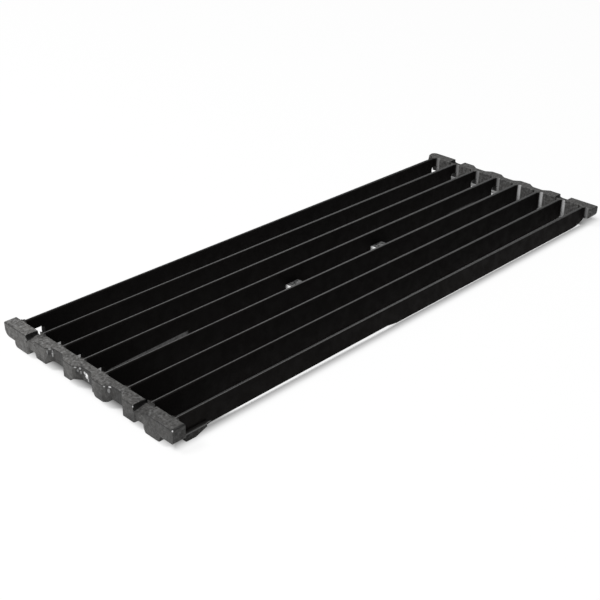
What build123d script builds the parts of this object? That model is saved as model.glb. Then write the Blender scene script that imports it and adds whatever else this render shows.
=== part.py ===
# Grill grate: one iron casting of eight deep bars between two toothed end rails.
# X runs along the bars and Y across them. Z = 0 is the plane under the foot of the last bar,
# and the origin is at the middle of the grate in that plane. Sizes are in millimetres.
import os

from build123d import *

os.makedirs("parts", exist_ok=True)

# Bars: a rounded ridge on top and sides that widen downwards. The two outer bars are shallower
overall_length = 413.0
bar_count = 8
bar_spacing = 20.0
bar_top_width = 2.2
bar_bottom_width = 4.8
bar_depth = 15.0
outer_bar_depth = 13.2
bar_end_slope = 2.5
bar_top_radius = 0.9
bar_bottom_chamfer = 0.5

# Rounded roots where the bars run into the near (+X) rail and the far rail
near_root_radius = 1.6
far_root_radius = 3.0
bar_root_width = 3.0
bar_root_depth = 13.5

# End rails, flush with the top of the bars
rail_width = 8.6
rail_depth = 9.0
rail_overhang = 7.7
rail_round_corner = 4.5
rail_tight_corner = 1.0
rail_edge_chamfer = 0.5

# Plain lip that hangs along the inner edge of a rail
lip_width = 2.5
lip_depth = 11.5

# Teeth along the outer face of a rail, with three scallops between them
scallop_count = 3
tooth_spacing = 27.1
tooth_width = 9.2
scallop_floor = 8.8
scallop_depth = 3.4
scallop_root_radius = 2.6
tooth_edge_radius = 1.0

# Grooves across the top of a rail, each side of the teeth, and the dip of the outer face there
groove_place = 50.2
groove_width = 9.8
groove_depth = 2.4
groove_radius = 0.9
groove_dip = 0.9

# Rounded lobes that hang under the teeth and under the end blocks
lobe_radius = 2.6
inner_lobe_place = 16.0
inner_lobe_width = 12.0
inner_lobe_depth = 11.2
outer_lobe_place = 40.7
outer_lobe_width = 13.0
outer_lobe_depth = 11.3
end_lobe_place = 60.2
end_lobe_width = 15.0
end_lobe_depth = 13.0

# Low ties between the two middle bars
near_tie_place = 33.2
far_tie_place = -52.0
tie_length = 12.2
tie_top_depth = 9.8
tie_bottom_depth = 13.8
tie_radius = 1.2

# Notches under both ends of the first bars. At the +X end the first is higher than the rest
notched_bars = 4
notch_length = 12.6
far_notch_length = 5.6
notch_radius = 2.5
first_notch_depth = 7.0

# Foot under the +X end of the last bar: a flat pad and a sloped heel
foot_depth = 16.0
foot_width = 5.6
foot_setback = 3.0
foot_length = 8.0
foot_slope_length = 7.6
foot_radius = 2.0

# Levels and places that follow from the sizes above
top = foot_depth
outer_face = overall_length / 2
inner_face = outer_face - rail_width
bar_tip = inner_face + (rail_width - scallop_depth) / 2
rail_length = (bar_count - 1) * bar_spacing + 2 * rail_overhang
outer_bar = (bar_count - 1) * bar_spacing / 2
lip_length = 2 * outer_bar + bar_root_width
middle_gap = (bar_count // 2 - bar_count / 2) * bar_spacing
scallop_mouth = tooth_spacing - tooth_width
dip_radius = (groove_width**2 / 4 + groove_dip**2) / (2 * groove_dip)
foot_front = inner_face - foot_setback
foot_heel = foot_front - foot_length - foot_slope_length
lobes = [
    (inner_lobe_place, inner_lobe_width, inner_lobe_depth),
    (outer_lobe_place, outer_lobe_width, outer_lobe_depth),
    (end_lobe_place, end_lobe_width, end_lobe_depth),
]
rail_reach = max(depth for place, width, depth in lobes)

# An inner and an outer bar on the X axis: the tapered section, cut to the side outline
bars = []
for depth in (bar_depth, outer_bar_depth):
    with BuildPart() as bar:
        with BuildSketch(Plane.YZ):
            with BuildLine():
                Polyline(
                    (-bar_top_width / 2, top),
                    (bar_top_width / 2, top),
                    (bar_bottom_width - bar_top_width / 2, top - 2 * bar_depth),
                    (bar_top_width / 2 - bar_bottom_width, top - 2 * bar_depth),
                    close=True,
                )
            make_face()
        extrude(amount=bar_tip, both=True)
        with BuildSketch(Plane.XZ) as side:
            with Locations((0, top - depth / 2)):
                Rectangle(2 * inner_face, depth)
            chamfer(side.vertices().group_by(Axis.Y)[0], bar_end_slope)
            with Locations((0, top - rail_depth / 4)):
                Rectangle(2 * bar_tip, rail_depth / 2)
        extrude(amount=bar_bottom_width, both=True, mode=Mode.INTERSECT)
        chamfer(bar.edges().filter_by(Axis.X).group_by(Axis.Z)[0], bar_bottom_chamfer)
        fillet(bar.edges().filter_by(Axis.X).group_by(Axis.Z)[-1], bar_top_radius)
    bars.append(bar.part)
inner_bar, end_bar = bars

# One end rail: its toothed plan, cut to its lobed front view
with BuildPart() as rail:
    with BuildSketch(Plane.XY.offset(top)) as plan:
        with Locations((inner_face + rail_width / 2, 0)):
            Rectangle(rail_width, rail_length)
        with GridLocations(0, tooth_spacing, 1, scallop_count):
            Polygon(
                (outer_face, -scallop_mouth / 2),
                (outer_face, scallop_mouth / 2),
                (outer_face - scallop_depth, scallop_floor / 2),
                (outer_face - scallop_depth, -scallop_floor / 2),
                mode=Mode.SUBTRACT,
            )
        roots = plan.vertices().group_by(Axis.X)[1]
        tooth_edges = plan.vertices().group_by(Axis.X)[2]
        fillet(roots, scallop_root_radius)
        fillet(tooth_edges, tooth_edge_radius)
        with Locations((outer_face + dip_radius - groove_dip, 0)):
            with GridLocations(0, 2 * groove_place, 1, 2):
                Circle(dip_radius, mode=Mode.SUBTRACT)
    extrude(amount=-rail_reach)
    with BuildSketch(Plane.YZ.offset(inner_face)) as front:
        with Locations((0, top - rail_depth / 2)):
            Rectangle(rail_length, rail_depth)
        fillet(front.vertices().group_by(Axis.Y)[0].sort_by(Axis.X)[0], rail_round_corner)
        fillet(front.vertices().group_by(Axis.Y)[0].sort_by(Axis.X)[-1], rail_tight_corner)
        for place, width, depth in lobes:
            height = depth - rail_depth / 2
            with Locations((0, top - depth + height / 2)):
                with GridLocations(2 * place, 0, 2, 1):
                    RectangleRounded(width, height, lobe_radius)
    extrude(amount=rail_width, mode=Mode.INTERSECT)
    chamfer(rail.edges().group_by(Axis.Z)[-1], rail_edge_chamfer)
    with BuildSketch(Plane.XY.offset(top - rail_depth / 2)):
        with Locations((inner_face + lip_width / 2, 0)):
            Rectangle(lip_width, lip_length)
    extrude(amount=rail_depth / 2 - lip_depth)

# Room of the two grooves across the top of one rail
with BuildPart() as grooves:
    with BuildSketch(Plane.YZ.offset(inner_face)):
        with Locations((0, top)):
            with GridLocations(2 * groove_place, 0, 2, 1):
                RectangleRounded(groove_width, 2 * groove_depth, groove_radius)
    extrude(amount=rail_width)

# Room of the notches under the ends of the first bars
with BuildPart() as notches:
    with BuildSketch(Plane.XZ.offset(outer_bar)):
        with Locations((inner_face, top - first_notch_depth - bar_depth)):
            RectangleRounded(2 * notch_length, 2 * bar_depth, notch_radius)
    extrude(amount=bar_bottom_width, both=True)
    with BuildSketch(Plane.XZ.offset(outer_bar - bar_spacing / 2)):
        with Locations((inner_face, top - rail_depth - bar_depth)):
            RectangleRounded(2 * notch_length, 2 * bar_depth, notch_radius)
    extrude(amount=-(notched_bars - 1) * bar_spacing)
    with BuildSketch(Plane.XZ.offset(outer_bar + bar_spacing / 2)):
        with Locations((-inner_face, top - first_notch_depth - bar_depth)):
            RectangleRounded(2 * far_notch_length, 2 * bar_depth, notch_radius)
    extrude(amount=-notched_bars * bar_spacing)

# The foot, in line with the last bar
with BuildPart() as foot:
    with BuildSketch(Plane.XZ.offset(-outer_bar)) as foot_side:
        with BuildLine():
            Polyline(
                (foot_front, top - rail_depth),
                (foot_front, 0),
                (foot_front - foot_length, 0),
                (foot_heel, top - outer_bar_depth),
                (foot_heel, top - rail_depth),
                close=True,
            )
        make_face()
        fillet(foot_side.vertices().group_by(Axis.Y)[0], foot_radius)
    extrude(amount=foot_width / 2, both=True)

# The whole casting
with BuildPart() as grate:
    with GridLocations(0, bar_spacing, 1, bar_count - 2):
        add(inner_bar)
    with GridLocations(0, 2 * outer_bar, 1, 2):
        add(end_bar)
    for end, radius in ((1, near_root_radius), (-1, far_root_radius)):
        for spare, depth in ((radius, first_notch_depth), (0, bar_root_depth)):
            with BuildSketch(Plane.XY.offset(top)):
                with Locations((end * (inner_face - radius / 2), 0)):
                    Rectangle(radius, lip_length + 2 * spare)
                with Locations((end * (inner_face - 2 * radius), 0)):
                    with GridLocations(0, bar_spacing, 1, bar_count + 1):
                        RectangleRounded(
                            4 * radius, bar_spacing - bar_root_width, radius, mode=Mode.SUBTRACT
                        )
            extrude(amount=-depth)
    add(notches.part, mode=Mode.SUBTRACT)
    add(foot.part)
    with PolarLocations(0, 2):
        add(rail.part)
    with BuildSketch(Plane.XZ.offset(-middle_gap)):
        for place in (near_tie_place, far_tie_place):
            with Locations((place, top - (tie_top_depth + tie_bottom_depth) / 2)):
                RectangleRounded(tie_length, tie_bottom_depth - tie_top_depth, tie_radius)
    extrude(amount=bar_spacing / 2, both=True)
    with PolarLocations(0, 2):
        add(grooves.part, mode=Mode.SUBTRACT)

grate.part.label = "grate"
export_step(grate.part, "parts/grate.step")
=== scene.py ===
import math
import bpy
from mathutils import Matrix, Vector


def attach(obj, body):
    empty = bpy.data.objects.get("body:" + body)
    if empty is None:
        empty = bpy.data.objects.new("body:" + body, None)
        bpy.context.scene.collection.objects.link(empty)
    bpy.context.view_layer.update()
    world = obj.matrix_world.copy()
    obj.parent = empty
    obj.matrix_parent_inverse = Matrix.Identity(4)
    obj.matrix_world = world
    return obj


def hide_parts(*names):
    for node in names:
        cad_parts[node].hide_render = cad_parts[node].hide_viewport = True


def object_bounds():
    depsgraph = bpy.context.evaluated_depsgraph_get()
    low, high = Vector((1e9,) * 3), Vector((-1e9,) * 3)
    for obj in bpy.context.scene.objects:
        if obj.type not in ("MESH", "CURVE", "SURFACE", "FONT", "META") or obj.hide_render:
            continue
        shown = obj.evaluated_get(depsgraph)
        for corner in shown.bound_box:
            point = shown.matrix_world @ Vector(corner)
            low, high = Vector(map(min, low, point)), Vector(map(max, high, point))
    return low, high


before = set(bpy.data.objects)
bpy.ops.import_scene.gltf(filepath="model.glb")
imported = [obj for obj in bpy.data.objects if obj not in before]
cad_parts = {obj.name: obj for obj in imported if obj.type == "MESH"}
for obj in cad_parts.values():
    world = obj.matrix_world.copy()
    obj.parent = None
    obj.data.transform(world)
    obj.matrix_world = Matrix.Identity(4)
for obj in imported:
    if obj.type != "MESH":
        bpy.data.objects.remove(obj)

from types import SimpleNamespace

import bmesh
import bpy
from mathutils import Matrix, Vector

CAD_LOW, CAD_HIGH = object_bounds()
scene = bpy.context.scene
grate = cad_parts["grate"]

# The frame is in metres. Places and sizes on the casting are given in millimetres, with CLOSE
# as the room for rounding when a point is looked up by its place
MM = 0.001
TO_MM = 1000.0
CLOSE = 0.1

# Spacings and places taken from the CAD
BAR_SPACING = 20.0
SCALLOP_SPACING = 27.1
RAIL_INNER_FACE = 197.9
RAIL_WIDTH = 8.6

# Grooves across the rails, and the fall of their floors at the outer face of the near rail
GROOVE_PLACE = 50.2
GROOVE_REACH = 5.2
GROOVE_FLOOR = 13.6
GROOVE_LIP = 15.5
GROOVE_FALL = 1.6

# Lower edge of the last bar: it curves up into the far rail, together with the rail's lip
LAST_BAR_CUT = 66.75
LAST_BAR_SIDES = (67.75, 72.4)
LAST_BAR_BOTTOM = 2.5
LIP_BACK = 200.6
CURVE_START = 184.0
CURVE_CUTS = (184.0, 188.0, 192.0)
CURVE_HEIGHT = 4.5
CURVE_TOP_ON_BAR = 12.0
CURVE_TOP_ON_LIP = 6.9

# Near half of that edge: it steps up at mid length and slopes back towards the foot
SHALLOW_HALF = (30.0, 176.0)
SHALLOW_ENDS = (21.0, 179.0)
SHALLOW_RISE = (1.4, 0.6)
SHALLOW_TOP = 4.0

# Rounded upright corners of the far rail
ROUND_CORNERS = ((-206.5, -77.7), (-197.9, -77.7))
ROUND_RADIUS = 3.2
ROUND_STEPS = 6
ROUND_PROFILE = 0.5
CORNER_REACH = 0.9
UPRIGHT_HEIGHT = 0.2

# Mesh limits: gaps in metres, angles in radians
SAME_PLACE = 1e-6
CUT_GAP = 1e-7
SLIVER = 1e-5
FLAT_ANGLE = math.radians(1.0)
SHARP_ANGLE = math.radians(25.0)

# Noise of the cast surface, from fine to broad: scale, detail and roughness
SAND_NOISE = (1500.0, 3.0, 0.65)
GRAIN_NOISE = (560.0, 3.0, 0.6)
BLOTCH_NOISE = (150.0, 4.0, 0.6)
PATCH_NOISE = (30.0, 3.0, 0.55)

# Bars: warm black sides as painted shade, painted crown highlights changing from near end to far
NEAR_TO_FAR = (200.0, -200.0)
BAR_TONES = ((0.0042, 0.0035, 0.0032, 1.0), (0.0080, 0.0067, 0.0062, 1.0))
CROWN_HALF_WIDTH = (0.3, 1.05)
CROWN_HIGHLIGHT_TONES = (0.105, 0.078)
TIE_TONES = (0.03, 0.2)
# Painted highlight on the +X ends of the ties
TIE_END_HIGHLIGHT_TONE = 0.75

# Rails: grey with light specks and dark pits, and painted shade at the far end, in hollows, on
# edges
RAIL_TONES = ((0.091, 0.089, 0.086, 1.0), (0.138, 0.135, 0.130, 1.0))
SPECK_TONE = 0.22
PIT_TONE = 0.04
SAND_TONE = 0.32
SHADE_TONE = 0.02
HOLLOW_SHADE_TONE = 0.015
EDGE_SHADE_TONE = 0.02
GROOVE_WALL_SHADE_TONE = 0.014

# Grey levels of the marks: painted glints, painted shade and painted highlights
ROOT_GLINT_TONE = 0.42
SCALLOP_SHADE_TONE = 0.03
STREAK_LIGHT_TONE = 0.24
LOWER_EDGE_HIGHLIGHT_TONE = 0.12
FOOT_LINE_TONE = 0.22

# Painted glints on the near rail: centre, reach and grey level
GLINT_SPOTS = [
    ((203.1, -2.1, 12.6), (1.5, 1.1, 1.0), 0.6),
    ((203.1, -0.3, 11.3), (1.5, 1.5, 2.0), 0.95),
    ((203.1, 0.9, 9.3), (1.5, 0.7, 1.5), 0.5),
    ((206.3, 77.6, 15.5), (0.6, 0.6, 0.6), 0.8),
    ((206.4, 45.3, 14.8), (0.6, 0.6, 0.7), 0.5),
    ((206.2, 46.3, 12.9), (0.6, 0.6, 0.8), 0.4),
    ((206.3, -55.0, 13.0), (0.6, 0.6, 1.0), 0.3),
    ((203.7, -32.3, 12.4), (0.9, 0.5, 2.6), 0.42),
    ((205.5, -34.8, 12.9), (0.9, 0.4, 1.7), 0.26),
    ((204.5, -33.3, 15.1), (1.4, 1.1, 0.5), 0.4),
    ((205.4, -7.6, 14.9), (0.9, 0.9, 0.5), 0.4),
    ((204.6, -6.4, 13.0), (1.0, 0.6, 1.2), 0.24),
    ((203.9, -5.3, 14.4), (0.9, 0.7, 0.8), 0.5),
    ((203.8, -5.0, 11.8), (0.9, 0.5, 1.4), 0.28),
    ((203.9, 21.9, 14.9), (1.0, 1.0, 0.6), 0.7),
    ((205.6, 19.3, 14.9), (0.8, 0.5, 0.5), 0.45),
    ((204.2, 21.3, 12.4), (1.1, 0.9, 1.7), 0.24),
]

# Finish of the coat: how much of the rails' finish the crowns and the foot have, the roughness
# and what the rails lose of it, and the bump, with its distance in metres
CROWN_SHARE = 0.5
FOOT_SHARE = 0.6
SPECULAR = 0.1
ROUGHNESS = (0.7, 0.88)
POLISH = 0.28
BUMP_DISTANCE = 0.0005
BUMP_STRENGTH = 0.15
RAIL_BUMP_STRENGTH = 0.4
GRAIN_HEIGHT = 0.8
BLOTCH_HEIGHT = 0.9
SAND_HEIGHT = 0.3

# Floor, world and lamp, with places and sizes in metres
FLOOR_SIZE = 12.0
FLOOR_DROP = 0.0004
FLOOR_FADE = 0.012
FAR_MARGIN = 0.025
# Strip under the near end of the grate, painted grey as a shadow
NEAR_STRIP = (0.150, 0.172)
FLOOR_BOUNCE = 0.6
FLOOR_AND_SHADOW_TONES = (0.9, 0.2)
GLOW_SHARE = (0.05, 0.92)
FILL_STRENGTH = 0.35
KEY_PLACE = (1.6, -0.5, 2.15)
KEY_SIZE = 0.8
KEY_POWER = 75.0

# Camera at the photo's place, in metres, with the lens and the sensor in millimetres
CAMERA_PLACE = (0.48294, 0.4295, 0.333014)
CAMERA_FORWARD = (-0.635193, -0.607466, -0.476985)
CAMERA_RIGHT = (-0.697834, 0.716049, 0.017367)
CAMERA_CLIP = (0.01, 50.0)
LENS = 64.167
SENSOR_WIDTH = 36.0

# Sockets of the Mix node when it mixes colours
MIX_FACTOR, MIX_A, MIX_B = 0, 6, 7
MIX_RESULT = 2


class Nodes:
    """A small helper that adds shader nodes to a material or a world and links them.

    Masks run from 0 to 1. The bounds of ramps and bands are places in millimetres, levels of
    noise, or parts of the direction that a face looks in.
    """

    def __init__(self, owner):
        owner.use_nodes = True
        self.tree = owner.node_tree
        self.tree.nodes.clear()

    def add(self, kind, values=None, **settings):
        node = self.tree.nodes.new(kind)
        for key, value in settings.items():
            setattr(node, key, value)
        for key, value in (values or {}).items():
            if isinstance(value, bpy.types.NodeSocket):
                self.tree.links.new(value, node.inputs[key])
            else:
                node.inputs[key].default_value = value
        return node

    def math(self, operation, a, b=0.0, c=0.0):
        return self.add("ShaderNodeMath", {0: a, 1: b, 2: c}, operation=operation).outputs[0]

    def ramp(self, value, low, high, to_low=0.0, to_high=1.0):
        """A soft step from to_low, at the value low, to to_high, at the value high."""
        node = self.add(
            "ShaderNodeMapRange",
            {
                "Value": value,
                "From Min": low,
                "From Max": high,
                "To Min": to_low,
                "To Max": to_high,
            },
            interpolation_type="SMOOTHSTEP",
        )
        return node.outputs["Result"]

    def both(self, *masks):
        """The product of the masks."""
        result = masks[0]
        for mask in masks[1:]:
            result = self.math("MULTIPLY", result, mask)
        return result

    def either(self, *masks):
        """The largest of the masks."""
        result = masks[0]
        for mask in masks[1:]:
            result = self.math("MAXIMUM", result, mask)
        return result

    def band(self, value, low, high, soft):
        """A mask that is 1 between low and high."""
        rise = self.ramp(value, low - soft, low + soft)
        return self.both(rise, self.ramp(value, high - soft, high + soft, 1.0, 0.0))

    def mix(self, factor, a, b):
        values = {MIX_FACTOR: factor, MIX_A: a, MIX_B: b}
        return self.add("ShaderNodeMix", values, data_type="RGBA").outputs[MIX_RESULT]

    def noise(self, vector, scale, detail, roughness):
        node = self.add(
            "ShaderNodeTexNoise",
            {"Vector": vector, "Scale": scale, "Detail": detail, "Roughness": roughness},
        )
        return node.outputs["Fac"]

    def spot(self, place, centre, reach):
        """A soft round mask about a centre."""
        away = self.add("ShaderNodeVectorMath", {0: place, 1: centre}, operation="SUBTRACT")
        away = self.add("ShaderNodeVectorMath", {0: away.outputs[0], 1: reach}, operation="DIVIDE")
        length = self.add("ShaderNodeVectorMath", {0: away.outputs[0]}, operation="LENGTH")
        return self.ramp(length.outputs["Value"], 0.6, 1.1, 1.0, 0.0)


def grey(value):
    return (value, value, value, 1.0)


def surface(n):
    """What the paint goes by: places in millimetres, directions, noise and parts of the grate."""
    s = SimpleNamespace()
    metres = n.add("ShaderNodeTexCoord").outputs["Object"]
    scaled = n.add("ShaderNodeVectorMath", {0: metres, "Scale": TO_MM}, operation="SCALE")
    s.place = scaled.outputs[0]
    s.x, s.y, s.z = n.add("ShaderNodeSeparateXYZ", {0: s.place}).outputs
    normal = n.add("ShaderNodeNewGeometry").outputs["Normal"]
    s.nx, s.ny, s.nz = n.add("ShaderNodeSeparateXYZ", {0: normal}).outputs
    s.off_x = n.math("ABSOLUTE", s.x)
    s.off_y = n.math("ABSOLUTE", s.y)
    s.outward = n.math("MULTIPLY", s.nx, n.math("SIGN", s.x))

    s.sand = n.noise(metres, *SAND_NOISE)
    s.grain = n.noise(metres, *GRAIN_NOISE)
    s.blotch = n.noise(metres, *BLOTCH_NOISE)
    s.patch = n.noise(metres, *PATCH_NOISE)

    # The rails with the tops of the far roots, the crowns of the bars, and the foot
    on_top = n.ramp(s.z, 15.0, 15.4)
    far_root_top = n.both(n.ramp(s.x, -194.6, -195.4), n.ramp(s.nz, 0.6, 0.8), on_top)
    s.rail = n.either(n.ramp(s.off_x, RAIL_INNER_FACE - 0.3, RAIL_INNER_FACE + 0.1), far_root_top)
    off_bar = n.math("PINGPONG", n.math("ADD", s.y, BAR_SPACING / 2), BAR_SPACING / 2)
    half_width = n.ramp(s.x, *NEAR_TO_FAR, *CROWN_HALF_WIDTH)
    past_crown = n.math("SUBTRACT", off_bar, half_width)
    s.crown = n.both(n.ramp(past_crown, -0.15, 0.15, 1.0, 0.0), on_top)
    s.foot = n.both(n.ramp(s.z, 6.2, 5.0), n.band(s.y, 66.4, 73.6, 0.4), n.ramp(s.x, 178.0, 181.0))
    return s


def bar_paint(n, s):
    """Black sides as painted shade, a painted highlight along each crown, and grey on the ties."""
    # Near-black sides: painted shade between the bars
    colour = n.mix(s.patch, *BAR_TONES)
    # Painted highlight along each crown, fainter on the first bar and towards +Y
    line = n.both(
        n.ramp(s.x, *NEAR_TO_FAR, *CROWN_HIGHLIGHT_TONES),
        n.ramp(s.grain, 0.2, 0.8, 0.7, 1.3),
        n.ramp(s.y, 15.0, 60.0, 1.0, 0.85),
        n.ramp(s.y, -72.0, -62.0, 0.3, 1.0),
    )
    crown_highlight_grey = n.add("ShaderNodeCombineColor", {0: line, 1: line, 2: line}).outputs[0]
    colour = n.mix(s.crown, colour, crown_highlight_grey)
    middle_gap = n.both(n.ramp(s.off_y, 9.0, 8.6), n.ramp(s.off_x, 80.0, 70.0))
    tie_top = n.both(middle_gap, n.ramp(s.nz, 0.7, 0.95), n.band(s.z, 5.6, 6.6, 0.3))
    tie_grey = n.mix(n.ramp(s.grain, 0.4, 0.6), *[grey(tone) for tone in TIE_TONES])
    colour = n.mix(tie_top, colour, tie_grey)
    # Painted highlight on the +X ends of the ties
    tie_end = n.both(middle_gap, n.ramp(s.nx, 0.3, 0.6))
    return n.mix(tie_end, colour, grey(TIE_END_HIGHLIGHT_TONE))


def rail_paint(n, s):
    """Grey with cast grain, with painted shade at the far end, towards +Y, on the outer faces, in
    the hollows and in the grooves.
    """
    faced = n.ramp(s.outward, 0.5, 0.9)
    coarse = n.math("MULTIPLY_ADD", faced, -0.35, 0.75)
    colour = n.mix(n.ramp(s.blotch, 0.3, 0.7), *RAIL_TONES)
    colour = n.mix(n.both(n.ramp(s.grain, 0.52, 0.64), coarse), colour, grey(SPECK_TONE))
    colour = n.mix(n.both(n.ramp(s.grain, 0.48, 0.36), coarse), colour, grey(PIT_TONE))
    colour = n.mix(n.both(n.ramp(s.sand, 0.58, 0.7), 0.5), colour, grey(SAND_TONE))
    # Painted shade at the far end and towards +Y
    far_shade = n.both(n.ramp(s.x, -150.0, -195.0), n.ramp(s.ny, 0.5, 0.9, 0.42, 0.72))
    shade = n.either(far_shade, n.ramp(s.y, -70.0, 75.0, 0.0, 0.47))
    colour = n.mix(shade, colour, grey(SHADE_TONE))
    # Painted shade on the outer faces, deeper on the scallop floors
    hollowed = n.both(n.ramp(s.off_x, 205.6, 203.8), n.ramp(s.off_y, 38.0, 37.0))
    face_shade = n.both(faced, n.math("MULTIPLY_ADD", hollowed, 0.42, 0.13))
    colour = n.mix(face_shade, colour, grey(HOLLOW_SHADE_TONE))
    # Painted shade on the groove floors
    groove_floor = n.both(n.ramp(s.nz, 0.6, 0.85), n.ramp(s.z, 15.0, 14.4), 0.3)
    return n.mix(groove_floor, colour, grey(HOLLOW_SHADE_TONE))


def edge_paint(n, s, colour):
    """Painted shade: dark lines along the front edges of the rails, and dark groove walls."""
    # Painted shade along the front edges
    sloped = n.both(n.ramp(s.nz, 0.2, 0.4), n.ramp(s.nz, 0.8, 0.96, 1.0, 0.0))
    forward = n.ramp(n.math("ADD", s.outward, s.ny), 0.2, 0.6)
    chamfer = n.both(sloped, n.ramp(s.z, 14.4, 14.9), forward, s.rail)
    end_edge = n.both(n.ramp(s.y, 76.2, 76.9), n.ramp(s.z, 15.0, 15.3), n.ramp(s.x, 197.0, 199.0))
    under_edge = n.both(n.ramp(s.outward, 0.3, 0.6), n.ramp(s.z, 14.6, 15.2), s.rail, 0.6)
    edge = n.either(chamfer, end_edge, under_edge)
    colour = n.mix(n.both(edge, 0.8), colour, grey(EDGE_SHADE_TONE))
    # Painted shade on the groove walls
    off_groove = n.math("ABSOLUTE", n.math("SUBTRACT", s.off_y, GROOVE_PLACE))
    walls = n.both(n.band(off_groove, 3.6, 5.4, 0.2), n.ramp(s.ny, 0.2, 0.5))
    walls = n.both(walls, n.ramp(s.z, 10.8, 11.6), s.rail, 0.85)
    return n.mix(walls, colour, grey(GROOVE_WALL_SHADE_TONE))


def painted_light_marks(n, s, colour):
    """Painted glints, shade and highlights on the roots, the near rail, one middle bar and the
    last bar.
    """
    # Painted glints on the roots of the bars at the far rail
    past_bar = n.math("FLOORED_MODULO", n.math("ADD", s.y, BAR_SPACING / 2), BAR_SPACING)
    roots = n.both(
        n.ramp(s.x, -193.5, -195.0),
        n.ramp(s.x, -198.6, -198.2),
        n.ramp(s.nx, 0.25, 0.6),
        n.band(past_bar, 2.7, 4.9, 0.5),
        n.ramp(s.y, -5.0, 12.0, 0.4, 1.0),
        n.ramp(s.y, 68.0, 72.0, 1.0, 0.3),
    )
    colour = n.mix(roots, colour, grey(ROOT_GLINT_TONE))

    # Painted shade on the flanks of the scallops, and painted glints
    half_scallop = SCALLOP_SPACING / 2
    off_scallop = n.math("PINGPONG", n.math("ADD", s.y, half_scallop), half_scallop)
    flank_shade = n.both(
        n.ramp(s.x, 203.0, 203.3),
        n.ramp(s.off_y, 37.0, 36.0),
        n.ramp(s.ny, 0.25, 0.45),
        n.band(off_scallop, 5.9, 7.4, 0.8),
        n.band(s.z, 10.8, 14.2, 1.2),
        n.ramp(s.blotch, 0.35, 0.6, 0.4, 0.9),
    )
    colour = n.mix(flank_shade, colour, grey(SCALLOP_SHADE_TONE))
    broken = n.ramp(n.math("ADD", s.sand, s.grain), 0.75, 1.0, 0.25, 1.0)
    for centre, reach, tone in GLINT_SPOTS:
        colour = n.mix(n.both(n.spot(s.place, centre, reach), broken), colour, grey(tone))

    # Painted light streaks on the side of one middle bar: a wedge by the near rail, and a faint
    # one far off
    side = n.both(n.ramp(s.ny, 0.7, 0.9), n.band(s.y, -9.0, -6.5, 0.2))
    wedge = n.ramp(n.math("MULTIPLY_ADD", s.x, 0.03, s.z), 8.7, 9.3, 1.0, 0.0)
    near_streak = n.both(n.band(s.x, 124.0, 183.0, 1.5), n.ramp(s.z, 2.6, 3.0), wedge)
    far_streak = n.both(n.band(s.x, -168.0, -136.0, 4.0), n.ramp(s.z, 4.4, 3.8), 0.4)
    streaks = n.both(side, n.either(near_streak, far_streak), n.ramp(s.grain, 0.3, 0.6, 0.6, 1.0))
    colour = n.mix(streaks, colour, grey(STREAK_LIGHT_TONE))

    # Last bar: a painted highlight along its lower edge, and a painted light line above the foot
    lower_edge = n.both(n.ramp(s.nz, -0.25, -0.5), n.ramp(s.ny, 0.3, 0.5))
    lower_edge = n.both(lower_edge, n.ramp(s.y, 71.0, 71.6), n.ramp(s.x, 10.0, -60.0))
    colour = n.mix(lower_edge, colour, grey(LOWER_EDGE_HIGHLIGHT_TONE))
    foot_line = n.both(n.band(s.z, 4.1, 4.9, 0.2), n.band(s.x, 176.0, 196.0, 1.0))
    foot_line = n.both(foot_line, n.ramp(s.ny, 0.6, 0.9), n.ramp(s.y, 71.0, 71.8), 0.8)
    return n.mix(foot_line, colour, grey(FOOT_LINE_TONE))


def black_iron():
    """Black-coated cast iron: bars black as painted shade with painted crown highlights; grey,
    grainy rails.
    """
    material = bpy.data.materials.new("black_iron")
    n = Nodes(material)
    s = surface(n)
    foot = n.both(s.foot, FOOT_SHARE)
    # Bars near black as painted shade, the rails and the foot grey
    colour = n.mix(n.either(s.rail, foot), bar_paint(n, s), rail_paint(n, s))
    colour = edge_paint(n, s, colour)
    colour = painted_light_marks(n, s, colour)

    # The rails, the crowns and the foot are smoother in finish and coarser in grain
    shine = n.either(s.rail, n.both(s.crown, CROWN_SHARE), foot)
    rough = n.ramp(s.blotch, 0.25, 0.75, *ROUGHNESS)
    rough = n.math("SUBTRACT", rough, n.both(shine, POLISH))
    height = n.math("MULTIPLY", s.grain, GRAIN_HEIGHT)
    height = n.math("MULTIPLY_ADD", s.blotch, BLOTCH_HEIGHT, height)
    height = n.math("MULTIPLY_ADD", s.sand, SAND_HEIGHT, height)
    strength = n.math("MULTIPLY_ADD", shine, RAIL_BUMP_STRENGTH, BUMP_STRENGTH)
    bump = n.add(
        "ShaderNodeBump", {"Strength": strength, "Distance": BUMP_DISTANCE, "Height": height}
    )
    shader = n.add(
        "ShaderNodeBsdfPrincipled",
        {
            "Base Color": colour,
            "Roughness": rough,
            "Specular IOR Level": SPECULAR,
            "Normal": bump.outputs["Normal"],
        },
    )
    n.add("ShaderNodeOutputMaterial", {"Surface": shader.outputs["BSDF"]})
    return material


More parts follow.
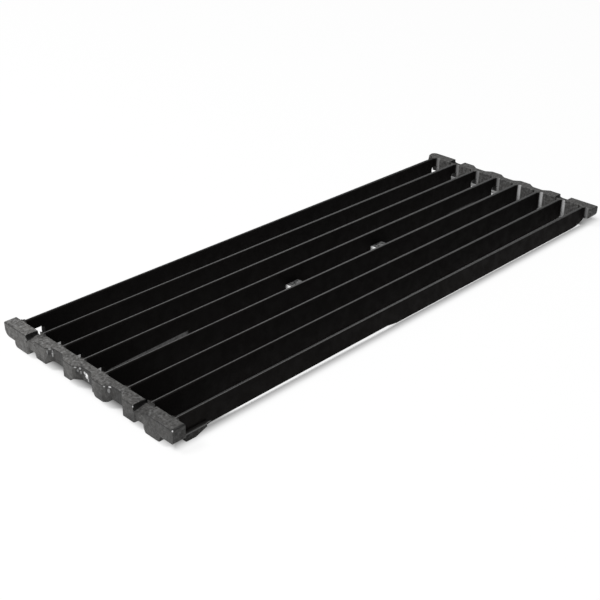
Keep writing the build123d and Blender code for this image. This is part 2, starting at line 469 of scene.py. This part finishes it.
def white_floor():
    """White to the eye and in reflections, with the shadow kept and a painted shadow under the
    near end; a duller bounce elsewhere.
    """
    material = bpy.data.materials.new("floor_white")
    n = Nodes(material)
    place = n.add("ShaderNodeTexCoord").outputs["Object"]
    x, y, _ = n.add("ShaderNodeSeparateXYZ", {0: place}).outputs

    # Under the grate the glow gives way to paint, which is grey under the near end as a painted
    # shadow of the near rail
    past_near = n.math("SUBTRACT", x, CAD_HIGH.x)
    past_far = n.math("SUBTRACT", CAD_LOW.x - FAR_MARGIN, x)
    past_sides = n.math("SUBTRACT", n.math("ABSOLUTE", y), CAD_HIGH.y)
    past = n.either(past_near, past_far, past_sides)
    shaded = n.both(n.ramp(x, *NEAR_STRIP), n.ramp(past, 0.0, -FLOOR_FADE))
    floor_grey = n.mix(shaded, *[grey(tone) for tone in FLOOR_AND_SHADOW_TONES])
    paint = n.add("ShaderNodeBsdfDiffuse", {"Color": floor_grey})
    glow = n.add("ShaderNodeEmission", {"Color": grey(1.0), "Strength": 1.0})
    share = n.ramp(past, -FLOOR_FADE, 0.0, *GLOW_SHARE)
    white = n.add("ShaderNodeMixShader", {0: share, 1: paint.outputs[0], 2: glow.outputs[0]})

    dull = n.add("ShaderNodeBsdfDiffuse", {"Color": grey(FLOOR_BOUNCE)})
    path = n.add("ShaderNodeLightPath").outputs
    seen = n.either(path["Is Camera Ray"], path["Is Glossy Ray"])
    choose = n.add("ShaderNodeMixShader", {0: seen, 1: dull.outputs[0], 2: white.outputs[0]})
    n.add("ShaderNodeOutputMaterial", {"Surface": choose.outputs[0]})
    return material


def slope_grooves(bm):
    """Lets the floor of each groove across the near rail fall towards its outer end."""
    for vert in bm.verts:
        x, y, z = TO_MM * vert.co
        past = (x - RAIL_INNER_FACE) / RAIL_WIDTH
        across = abs(abs(y) - GROOVE_PLACE)
        if past > 0.0 and across < GROOVE_REACH and GROOVE_FLOOR - CLOSE < z < GROOVE_LIP:
            sunk = (GROOVE_LIP - z) / (GROOVE_LIP - GROOVE_FLOOR)
            vert.co.z -= MM * GROOVE_FALL * past * sunk


def cut_last_bar(bm):
    """Cuts the mesh where the lower edge of the last bar changes its course."""
    places = [-place for place in CURVE_CUTS] + [*SHALLOW_HALF, *SHALLOW_ENDS]
    cuts = [((MM * place, 0.0, 0.0), (1.0, 0.0, 0.0)) for place in places]
    cuts.append(((0.0, MM * LAST_BAR_CUT, 0.0), (0.0, 1.0, 0.0)))
    for point, direction in cuts:
        geometry = [*bm.verts, *bm.edges, *bm.faces]
        bmesh.ops.bisect_plane(bm, geom=geometry, dist=CUT_GAP, plane_co=point, plane_no=direction)


def raise_last_bar(bm):
    """Lets the lower edge of the last bar step up at mid length and curve up into the far rail."""
    start, end = SHALLOW_HALF
    for vert in bm.verts:
        x, y, z = TO_MM * vert.co
        if not LAST_BAR_SIDES[0] < y < LAST_BAR_SIDES[1]:
            continue
        if -LIP_BACK < x < -CURVE_START:
            along = min(1.0, (-CURVE_START - x) / (RAIL_INNER_FACE - CURVE_START))
            top = CURVE_TOP_ON_BAR if x > CLOSE - RAIL_INNER_FACE else CURVE_TOP_ON_LIP
            share = max(0.0, min(1.0, (top - z) / (top - LAST_BAR_BOTTOM)))
            vert.co.z += MM * CURVE_HEIGHT * along**2 * share
        elif start - CLOSE < x < end + CLOSE and z < SHALLOW_TOP:
            part = (x - start) / (end - start)
            vert.co.z += MM * (SHALLOW_RISE[0] + part * (SHALLOW_RISE[1] - SHALLOW_RISE[0]))


def round_far_rail(bm):
    """Rounds the upright corners at the -Y end of the far rail."""
    corners = [MM * Vector(corner) for corner in ROUND_CORNERS]
    edges = [
        edge for edge in bm.edges for corner in corners
        if all((vert.co.xy - corner).length < MM * CORNER_REACH for vert in edge.verts)
        and abs(edge.verts[0].co.z - edge.verts[1].co.z) > MM * UPRIGHT_HEIGHT
    ]
    bmesh.ops.bevel(
        bm,
        geom=edges,
        offset=MM * ROUND_RADIUS,
        segments=ROUND_STEPS,
        profile=ROUND_PROFILE,
        affect="EDGES",
    )


def casting():
    """The grate, made from the frame's own mesh."""
    bm = bmesh.new()
    bm.from_mesh(grate.data)
    bmesh.ops.remove_doubles(bm, verts=bm.verts, dist=SAME_PLACE)
    slope_grooves(bm)
    cut_last_bar(bm)
    raise_last_bar(bm)
    bmesh.ops.dissolve_limit(bm, angle_limit=FLAT_ANGLE, verts=bm.verts, edges=bm.edges)
    round_far_rail(bm)
    bmesh.ops.triangulate(bm, faces=bm.faces, ngon_method="BEAUTY")
    bmesh.ops.dissolve_degenerate(bm, dist=SLIVER, edges=bm.edges)
    mesh = bpy.data.meshes.new("grate_casting")
    bm.to_mesh(mesh)
    bm.free()
    piece = bpy.data.objects.new("grate_casting", mesh)
    scene.collection.objects.link(piece)

    # Smooth shading over the fillets that leaves the flats flat
    mesh.shade_smooth()
    mesh.set_sharp_from_angle(angle=SHARP_ANGLE)
    normals = piece.modifiers.new("normals", "WEIGHTED_NORMAL")
    normals.keep_sharp = True
    return piece


# The casting itself
piece = casting()
piece.data.materials.append(black_iron())
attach(piece, "root")
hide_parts("grate")

# Floor
bpy.ops.mesh.primitive_plane_add(size=FLOOR_SIZE, location=(0.0, 0.0, -FLOOR_DROP))
floor = bpy.context.object
floor.name = "floor"
floor.data.materials.append(white_floor())

# World: white where the camera looks past the floor, soft grey light elsewhere
scene.world = bpy.data.worlds.new("studio")
sky = Nodes(scene.world)
looked_at = sky.add("ShaderNodeLightPath").outputs["Is Camera Ray"]
seen = sky.add("ShaderNodeBackground", {"Color": grey(1.0), "Strength": 1.0}).outputs[0]
fill = sky.add("ShaderNodeBackground", {"Color": grey(1.0), "Strength": FILL_STRENGTH}).outputs[0]
choose = sky.add("ShaderNodeMixShader", {0: looked_at, 1: fill, 2: seen})
sky.add("ShaderNodeOutputWorld", {"Surface": choose.outputs[0]})

# One lamp, aimed at the origin
lamp_data = bpy.data.lights.new("key", "AREA")
lamp_data.shape = "DISK"
lamp_data.size = KEY_SIZE
lamp_data.energy = KEY_POWER
lamp = bpy.data.objects.new("key", lamp_data)
lamp.location = KEY_PLACE
lamp.rotation_euler = (-Vector(KEY_PLACE)).to_track_quat("-Z", "Y").to_euler()
scene.collection.objects.link(lamp)

# Camera
camera_data = bpy.data.cameras.new("camera")
camera_data.sensor_width = SENSOR_WIDTH
camera_data.lens = LENS
camera_data.clip_start, camera_data.clip_end = CAMERA_CLIP
camera = bpy.data.objects.new("camera", camera_data)
forward = Vector(CAMERA_FORWARD).normalized()
right = Vector(CAMERA_RIGHT)
right = (right - right.dot(forward) * forward).normalized()
turn = Matrix((right, right.cross(forward), -forward)).transposed()
camera.matrix_world = Matrix.Translation(CAMERA_PLACE) @ turn.to_4x4()
scene.collection.objects.link(camera)
scene.camera = camera

scene.view_settings.view_transform = "Standard"
